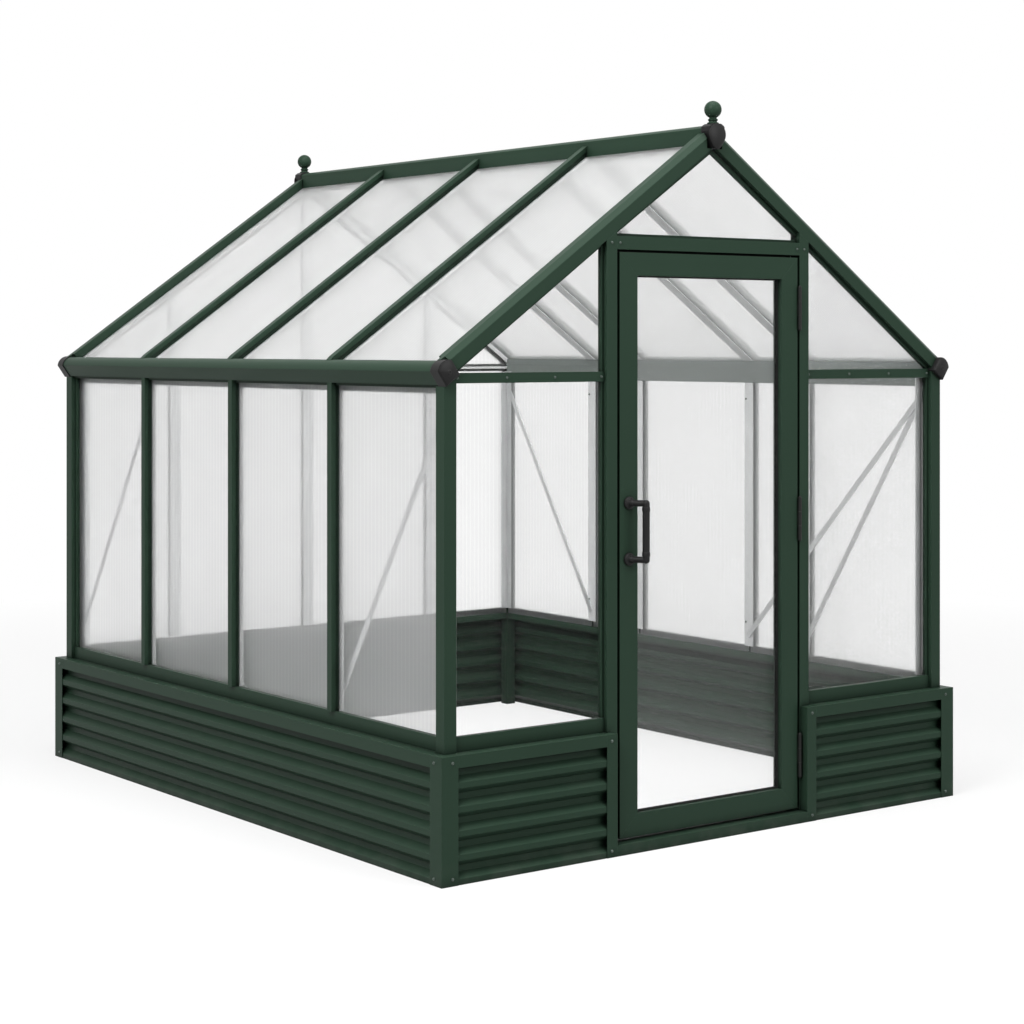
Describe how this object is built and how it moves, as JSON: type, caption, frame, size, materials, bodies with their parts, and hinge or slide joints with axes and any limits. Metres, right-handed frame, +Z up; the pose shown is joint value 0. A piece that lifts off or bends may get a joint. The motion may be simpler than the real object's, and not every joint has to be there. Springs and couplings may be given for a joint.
{
  "type": "greenhouse with a corrugated base",
  "caption": "Walk-in gable greenhouse with a green metal frame, translucent twin-wall panels, a ribbed sheet base, ball finials and a hinged front door with a pull handle.",
  "frame": {"origin": "ground level under the middle of the building", "axes": "+X to the right across the front gable, front gable and door towards -Y, +Z up"},
  "size_m": [2.122, 2.535, 2.2914],
  "materials": {
    "painted_frame": "satin dark green paint",
    "glazing": "clear to milky ribbed twin-wall panel",
    "black_plastic": "fine matte black",
    "bare_metal": "dull mill finish",
    "hinge_metal": "black paint"
  },
  "bodies": {
    "structure": {"base_left_panel": "painted_frame", "base_right_panel": "painted_frame", "base_back_panel": "painted_frame", "base_front_left_panel": "painted_frame", "base_front_right_panel": "painted_frame", "base_corner_posts": "painted_frame", "base_door_posts": "painted_frame", "base_top_rails": "painted_frame", "base_inner_posts": "painted_frame", "door_sill": "painted_frame", "corner_posts": "painted_frame", "left_wall_mullions": "painted_frame", "right_wall_mullions": "painted_frame", "back_wall_mullions": "painted_frame", "sill_rails": "painted_frame", "eave_rails": "painted_frame", "gable_tie_rails": "painted_frame", "door_jambs": "painted_frame", "door_header": "painted_frame", "front_rafters": "painted_frame", "back_rafters": "painted_frame", "ridge_beam": "painted_frame", "left_roof_bars": "painted_frame", "right_roof_bars": "painted_frame", "finials": "painted_frame", "left_wall_glazing": "glazing", "right_wall_glazing": "glazing", "back_wall_glazing": "glazing", "front_wall_glazing": "glazing", "left_roof_glazing": "glazing", "right_roof_glazing": "glazing", "eave_caps": "black_plastic", "ridge_caps": "black_plastic", "left_wall_braces": "bare_metal", "right_wall_braces": "bare_metal", "hinge_frame_leaves": "hinge_metal"},
    "door": {"door_latch_stile": "painted_frame", "door_hinge_stile": "painted_frame", "door_top_rail": "painted_frame", "door_bottom_rail": "painted_frame", "door_pane": "glazing", "door_handle": "black_plastic", "hinge_door_leaves": "hinge_metal"}
  },
  "joints": [
    {"name": "door_hinge", "type": "hinge", "parent": "structure", "child": "door", "pos_m": [0.363, -1.226, 0.972], "axis": [0, 0, 1], "range_deg": [0, 100]}
  ]
}
